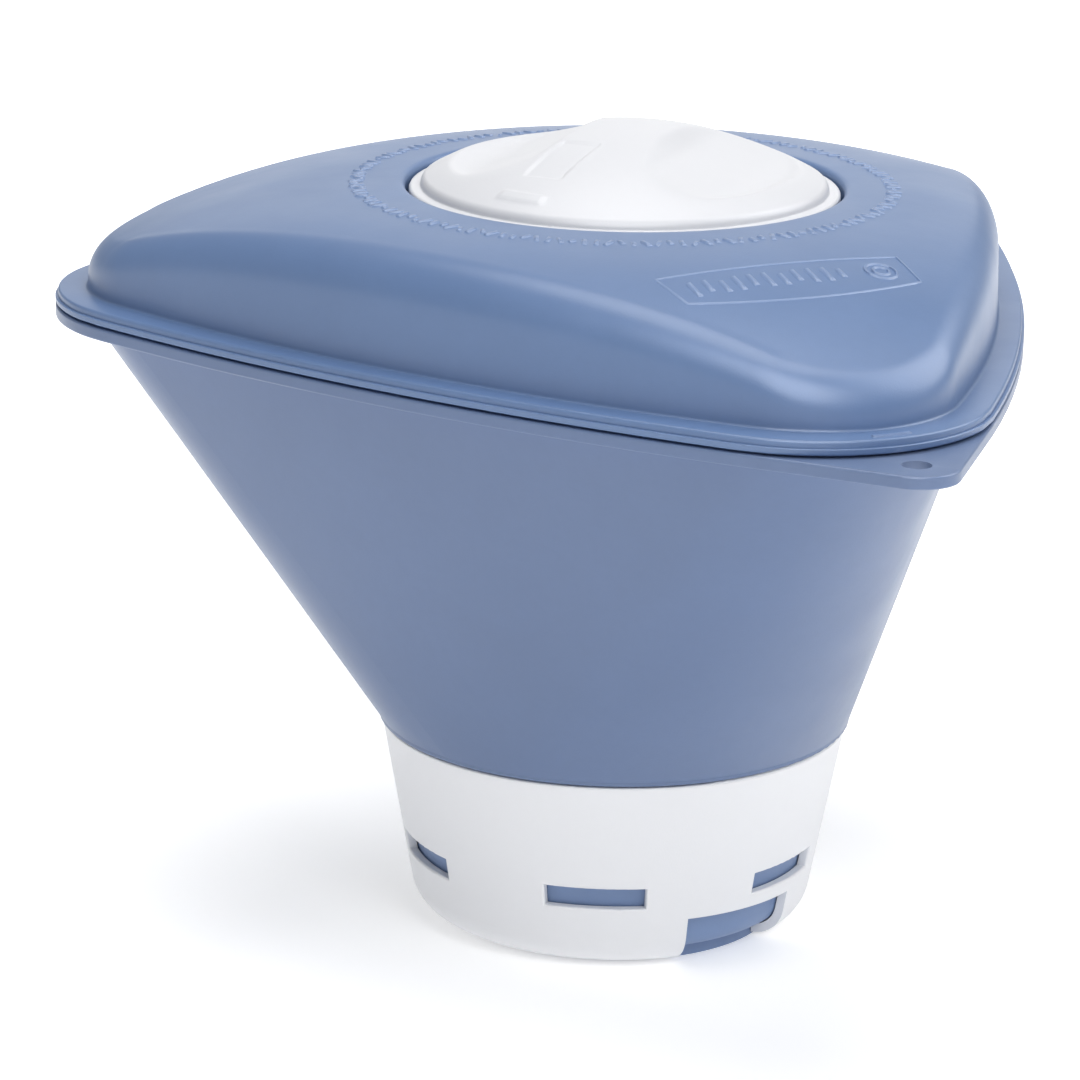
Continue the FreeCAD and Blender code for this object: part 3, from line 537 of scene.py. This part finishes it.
def cap_top(x, y):
    """Height of the cap's top: a dome with a hollowed finger scoop on each side of a middle
    grip, a shallow panel let into the grip and a small bar near the rim."""
    radius = np.hypot(x, y)
    whole = dome(radius)
    along = x * math.cos(GRIP) + y * math.sin(GRIP)
    across = np.abs(y * math.cos(GRIP) - x * math.sin(GRIP))
    hollow = SCOOP_CURVE * np.maximum(across - SCOOP_TURN, 0) ** 2
    floor = CAP_CREST - SCOOP_DROP - across * math.tan(SCOOP_TILT) + hollow
    outer_wall = whole - OUTER_STEEPNESS * (SCOOP_RADIUS - radius)
    grip_wall = whole - GRIP_STEEPNESS * (GRIP_WALL_ARC - np.hypot(along, across - GRIP_WALL_CENTRE))
    scoop = smooth_max(smooth_max(floor, outer_wall, OUTER_ROUND), grip_wall, GRIP_ROUND)
    height = smooth_min(whole, scoop, SCOOP_EDGE)
    panel_along = x * math.cos(PANEL_TURN) + y * math.sin(PANEL_TURN)
    panel_across = x * math.sin(PANEL_TURN) - y * math.cos(PANEL_TURN)
    lengthwise = band(panel_along, *PANEL_ALONG, width=0.8)
    in_panel = lengthwise * band(panel_across, *PANEL_ACROSS, width=0.6)
    direction = np.degrees(np.arctan2(y, x))
    bar = band(direction, *BAR_DIRECTIONS, width=1.0) * band(radius, *BAR_RADII, width=0.6)
    return height - PANEL_DEPTH * in_panel + BAR_HEIGHT * bar


def build_cap():
    """The cap moulding: domed plate, lip, skirt and lugs."""
    columns = 420
    angles = np.linspace(0, FULL_TURN, columns, endpoint=False)
    cosine = np.cos(angles)
    sine = np.sin(angles)
    rows = []
    innermost = 0.5
    rim_centre = DOME_RADIUS - RIM_ROUND
    rim = rim_centre + RIM_ROUND * math.cos(math.radians(RIM_START))
    rim_height = float(dome(rim)) - RIM_ROUND * math.sin(math.radians(RIM_START))
    for radius in np.linspace(innermost, rim - 0.3, 90):
        rows.append((radius, cap_top(radius * cosine, radius * sine)))
    rows += arc((rim_centre, rim_height), RIM_ROUND, RIM_START, 0, 12)
    rows += arc((DOME_RADIUS + LIP_FILLET, LIP_TOP + LIP_FILLET), LIP_FILLET, 180, 270, 4)
    rows += arc((LIP_RADIUS - LIP_ROUND, LIP_TOP - LIP_ROUND), LIP_ROUND, 90, 0, 6)
    rows += arc((LIP_RADIUS - LIP_FILLET, CAP_SEAL_TOP + LIP_FILLET), LIP_FILLET, 0, -90, 4)
    skirt_edge = CAP_BOTTOM + SKIRT_BEVEL
    rows += [(SKIRT_OUTSIDE, CAP_SEAL_TOP), (SKIRT_OUTSIDE, skirt_edge)]
    rows += [(SKIRT_OUTSIDE - SKIRT_BEVEL, CAP_BOTTOM), (SKIRT_INSIDE + SKIRT_BEVEL, CAP_BOTTOM)]
    rows.append((SKIRT_INSIDE, skirt_edge))
    for radius in np.linspace(SKIRT_INSIDE, innermost, 30):
        rows.append((radius, cap_top(radius * cosine, radius * sine) - CAP_PLATE))
    shape = Shape()
    shape.sweep(angles, rows[::-1], closed=False)
    root = SKIRT_OUTSIDE - ROOT
    for index in range(LUG_COUNT):
        lug = GRIP + LUG_PITCH * index
        shape.sector(root, LUG_OUTSIDE, LUG_LOW, LUG_HIGH, lug - LUG_HALF, lug + LUG_HALF, steps=12)
    return shape.make("cap_moulding")


# ---------------------------------------------------------------------------------------------
# Materials
# ---------------------------------------------------------------------------------------------


def linear(colour):
    """Linear colour from 0 to 255 screen values."""
    return [c / 255 / 12.92 if c <= 10 else ((c / 255 + 0.055) / 1.055) ** 2.4 for c in colour] + [1.0]


def scaled(colour, factor):
    return [min(1.0, c * factor) for c in colour[:3]] + [1.0]


class Nodes:
    """A short way to write a material's node tree."""

    def __init__(self, name):
        self.material = bpy.data.materials.new(name)
        self.material.use_nodes = True
        self.tree = self.material.node_tree
        self.shader = self.tree.nodes["Principled BSDF"]
        self.place = self.tree.nodes.new("ShaderNodeTexCoord").outputs["Object"]

    def link(self, source, target):
        self.tree.links.new(source, target)

    def noise(self, scale, detail=2.0, rough=0.5, stretch=None):
        """Noise from 0 to 1, in the object's own coordinates."""
        place = self.place
        if stretch:
            mapping = self.tree.nodes.new("ShaderNodeMapping")
            mapping.inputs["Scale"].default_value = stretch
            self.link(place, mapping.inputs["Vector"])
            place = mapping.outputs["Vector"]
        node = self.tree.nodes.new("ShaderNodeTexNoise")
        node.inputs["Scale"].default_value = scale
        node.inputs["Detail"].default_value = detail
        node.inputs["Roughness"].default_value = rough
        self.link(place, node.inputs["Vector"])
        return node.outputs["Fac"]

    def span(self, value, low, high, bottom, top):
        """Map a value's range low to high onto bottom to top."""
        node = self.tree.nodes.new("ShaderNodeMapRange")
        limits = {"From Min": low, "From Max": high, "To Min": bottom, "To Max": top}
        for socket, number in limits.items():
            node.inputs[socket].default_value = number
        self.link(value, node.inputs["Value"])
        return node.outputs["Result"]

    def mix(self, factor, first, second):
        """Mix two colours, each a value or a socket."""
        node = self.tree.nodes.new("ShaderNodeMix")
        node.data_type = "RGBA"
        self.link(factor, node.inputs["Factor"])
        # Inputs 6 and 7 are the node's two colours, and output 2 is the mixed one.
        for socket, colour in ((node.inputs[6], first), (node.inputs[7], second)):
            if isinstance(colour, list):
                socket.default_value = colour
            else:
                self.link(colour, socket)
        return node.outputs[2]

    def total(self, first, second):
        node = self.tree.nodes.new("ShaderNodeMath")
        node.operation = "ADD"
        self.link(first, node.inputs[0])
        self.link(second, node.inputs[1])
        return node.outputs[0]

    def bump(self, height, strength, distance):
        node = self.tree.nodes.new("ShaderNodeBump")
        node.inputs["Strength"].default_value = strength
        node.inputs["Distance"].default_value = distance
        self.link(height, node.inputs["Height"])
        self.link(node.outputs["Normal"], self.shader.inputs["Normal"])

    def edges(self, start, end):
        """1 on sharp outward edges, 0 elsewhere."""
        pointiness = self.tree.nodes.new("ShaderNodeNewGeometry").outputs["Pointiness"]
        return self.span(pointiness, start, end, 0.0, 1.0)


def moulded_plastic(name, colour, rough, grain=0.12, mottle=0.05, edge_wear_and_highlight=0.35):
    """Injection-moulded plastic: cloudy colour, fine spark-eroded grain, faint flow lines and
    edges made paler, partly as rubbed wear and partly as a painted highlight."""
    nodes = Nodes(name)
    cloud = nodes.noise(14, 4.0, 0.6)
    fleck = nodes.noise(420, 2.0, 0.5)
    base = linear(colour)
    deep = scaled(base, 1 - mottle)
    light = scaled(base, 1 + mottle)
    clouded = nodes.mix(nodes.span(cloud, 0.3, 0.7, 0, 1), deep, light)
    flecked = nodes.mix(nodes.span(fleck, 0.35, 0.75, 0, 0.16), clouded, scaled(base, 1 - 2.5 * mottle))
    # Sharp edges turn paler: partly rubbed wear, partly a painted highlight along the edges.
    worn_highlight_colour = [c + (1 - c) * 0.16 for c in base[:3]] + [1.0]
    rubbed_and_highlit = nodes.mix(nodes.span(nodes.edges(0.53, 0.64), 0, 1, 0, edge_wear_and_highlight), flecked, worn_highlight_colour)
    nodes.link(rubbed_and_highlit, nodes.shader.inputs["Base Color"])
    sheen_patches = nodes.noise(38, 3.0, 0.55)
    nodes.link(nodes.span(sheen_patches, 0.3, 0.7, *rough), nodes.shader.inputs["Roughness"])
    fine = nodes.noise(2600, 1.5, 0.5)
    flow = nodes.noise(60, 2.0, 0.5, stretch=(1, 1, 0.25))
    nodes.bump(nodes.total(fine, nodes.span(flow, 0, 1, 0, 0.5)), grain, 0.0002)
    nodes.shader.inputs["IOR"].default_value = 1.49
    return nodes.material


def rubber(name, colour):
    """Soft seal rubber with a dusty bloom; on the seam between the flanges its dark blue is painted shade
    in the gap.
    """
    nodes = Nodes(name)
    bloom = nodes.noise(180, 4.0, 0.65)
    base = linear(colour)
    dusty = nodes.mix(nodes.span(bloom, 0.4, 0.75, 0, 0.6), base, scaled(base, 1.9))
    nodes.link(dusty, nodes.shader.inputs["Base Color"])
    nodes.link(nodes.span(bloom, 0.3, 0.7, 0.55, 0.75), nodes.shader.inputs["Roughness"])
    nodes.bump(nodes.noise(1500, 2.0, 0.5), 0.15, 0.0002)
    return nodes.material


def floor_paper(name, colour, near_glow, far_glow):
    """Matt studio paper, lit from below like a light table, more so away from the middle."""
    near = 0.12
    far = 0.8
    nodes = Nodes(name)
    fibre = nodes.noise(90, 5.0, 0.6)
    base = linear(colour)
    fibrous = nodes.mix(fibre, scaled(base, 0.995), scaled(base, 1.005))
    nodes.link(fibrous, nodes.shader.inputs["Base Color"])
    nodes.link(nodes.span(fibre, 0, 1, 0.85, 0.95), nodes.shader.inputs["Roughness"])
    nodes.shader.inputs["Emission Color"].default_value = (1.0, 1.0, 1.0, 1.0)
    reach = nodes.tree.nodes.new("ShaderNodeVectorMath")
    reach.operation = "LENGTH"
    nodes.link(nodes.place, reach.inputs[0])
    glow = nodes.span(reach.outputs["Value"], near, far, near_glow, far_glow)
    nodes.link(glow, nodes.shader.inputs["Emission Strength"])
    return nodes.material


# The hull's blue is a darker copy of the deck's: painted shade on the lower half, which gets less light
# from above.
SHADED_FLOAT_BLUE = moulded_plastic("float_blue_painted_shade", (96, 115, 150), rough=(0.31, 0.39))
DECK_BLUE = moulded_plastic("deck_blue", (94, 119, 159), rough=(0.31, 0.39))
# The marks' blue is a lighter copy of the deck's: a painted highlight that makes the raised marks read as
# lit on top.
MARK_HIGHLIGHT_BLUE = moulded_plastic("mark_highlight_blue", (102, 127, 168), rough=(0.31, 0.39))
CUP_BLUE = moulded_plastic("cup_blue", (112, 134, 172), rough=(0.42, 0.5))
RING_WHITE = moulded_plastic("ring_white", (229, 230, 233), rough=(0.38, 0.48), mottle=0.012, edge_wear_and_highlight=0.1)
CAP_WHITE = moulded_plastic("cap_white", (209, 210, 214), rough=(0.36, 0.44), mottle=0.012, edge_wear_and_highlight=0.1)
TUBE_GREY = moulded_plastic("tube_natural", (196, 202, 208), rough=(0.3, 0.4), mottle=0.03, edge_wear_and_highlight=0.15)
BLACK_RUBBER = rubber("seal_black", (30, 32, 37))
# Dark blue for the seam part between the flanges: painted shade standing in for the shadow in the gap.
SEAM_SHADE_BLUE = rubber("seam_painted_shade", (78, 92, 126))

NODE_MATERIALS = {
    "hull_shell": SHADED_FLOAT_BLUE,
    "vent_cup": CUP_BLUE,
    "dosing_ring": RING_WHITE,
    "tablet_tube": TUBE_GREY,
    # The seam part's dark blue is painted shade in the gap between the flanges.
    "seam_seal": SEAM_SHADE_BLUE,
    "tube_top_seal": BLACK_RUBBER,
    "tube_bottom_seal": BLACK_RUBBER,
    "cap_seal": BLACK_RUBBER,
}


def cover(thing, material):
    """Give every face of a thing one material, through its slots."""
    if not thing.data.materials:
        thing.data.materials.append(material)
    for slot in thing.material_slots:
        slot.material = material


# ---------------------------------------------------------------------------------------------
# Camera, light and floor
# ---------------------------------------------------------------------------------------------


def add_camera():
    """A long lens in front of the object, a little above it and rolled by a degree."""
    place = (-0.4473, -0.9147, 0.3817)
    heading = math.radians(-26.06)
    data = bpy.data.cameras.new("camera")
    data.sensor_width = 36.0
    data.lens = 161.8
    camera = bpy.data.objects.new("camera", data)
    bpy.context.scene.collection.objects.link(camera)
    yaw = math.radians(-0.95)
    pitch = math.radians(16.31)
    roll = math.radians(0.95)
    level_part = math.cos(pitch)
    forward = Vector((math.sin(yaw) * level_part, math.cos(yaw) * level_part, -math.sin(pitch)))
    level = Vector((math.cos(yaw), -math.sin(yaw), 0))
    upright = level.cross(forward)
    right = math.cos(roll) * level + math.sin(roll) * upright
    up = -math.sin(roll) * level + math.cos(roll) * upright
    facing = Matrix((right, up, -forward)).transposed()
    turned = Matrix.Rotation(heading, 3, "Z") @ facing
    camera.matrix_world = Matrix.Translation(place) @ turned.to_4x4()
    bpy.context.scene.camera = camera


def add_area_light(name, place, target, size, power, matt=True, shine=True):
    """A round soft light.  It lights matt surfaces, shows in glossy ones, or does both."""
    data = bpy.data.lights.new(name, "AREA")
    data.shape = "DISK"
    data.size = size
    data.energy = power
    light = bpy.data.objects.new(name, data)
    light.visible_diffuse = matt
    light.visible_glossy = shine
    bpy.context.scene.collection.objects.link(light)
    light.location = place
    light.rotation_euler = (Vector(target) - Vector(place)).to_track_quat("-Z", "Y").to_euler()


def add_floor():
    """A wide disc of studio paper under the foot."""
    sides = 96
    radius = 6.0
    turns = np.linspace(0, FULL_TURN, sides, endpoint=False)
    points = [(0.0, 0.0, 0.0)] + [(radius * math.cos(turn), radius * math.sin(turn), 0.0) for turn in turns]
    faces = [(0, 1 + i, 1 + (i + 1) % sides) for i in range(sides)]
    mesh = bpy.data.meshes.new("studio_floor")
    mesh.from_pydata(points, [], faces)
    mesh.update()
    floor = bpy.data.objects.new("studio_floor", mesh)
    bpy.context.scene.collection.objects.link(floor)
    cover(floor, floor_paper("studio_paper", (250, 250, 250), near_glow=0.29, far_glow=0.66))


def add_surroundings():
    """Even white light from all round, and plain display colours."""
    world = bpy.data.worlds.new("studio")
    bpy.context.scene.world = world
    world.use_nodes = True
    background = world.node_tree.nodes["Background"]
    background.inputs["Color"].default_value = (1.0, 1.0, 1.0, 1.0)
    background.inputs["Strength"].default_value = 0.36
    bpy.context.scene.view_settings.view_transform = "Standard"


# Where the lights aim, in metres.
FUNNEL = (0, 0, 0.1)
DECK_MIDDLE = (0, 0, 0.15)

add_camera()
add_surroundings()
add_floor()
add_area_light("overhead", (0.02, 0.13, 1.3), FUNNEL, size=1.0, power=10.4)
add_area_light("key", (0.12, -1.02, 1.05), FUNNEL, size=0.95, power=8.5, shine=False)
add_area_light("backdrop", (0.75, 1.53, 0.7), DECK_MIDDLE, size=1.4, power=3.2)
add_area_light("front_shine", (-0.552, -0.955, 1.01), DECK_MIDDLE, size=1.4, power=27, matt=False)
add_area_light("right_shine", (1.01, -0.27, 0.93), DECK_MIDDLE, size=1.3, power=18, matt=False)

for node, material in NODE_MATERIALS.items():
    cover(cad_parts[node], material)

deck = build_deck()
cover(deck, DECK_BLUE)
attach(deck, "float")
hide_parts("deck_shell")

marks = build_marks()
cover(marks, MARK_HIGHLIGHT_BLUE)
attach(marks, "float")

cap = build_cap()
cover(cap, CAP_WHITE)
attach(cap, "cap")
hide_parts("cap")
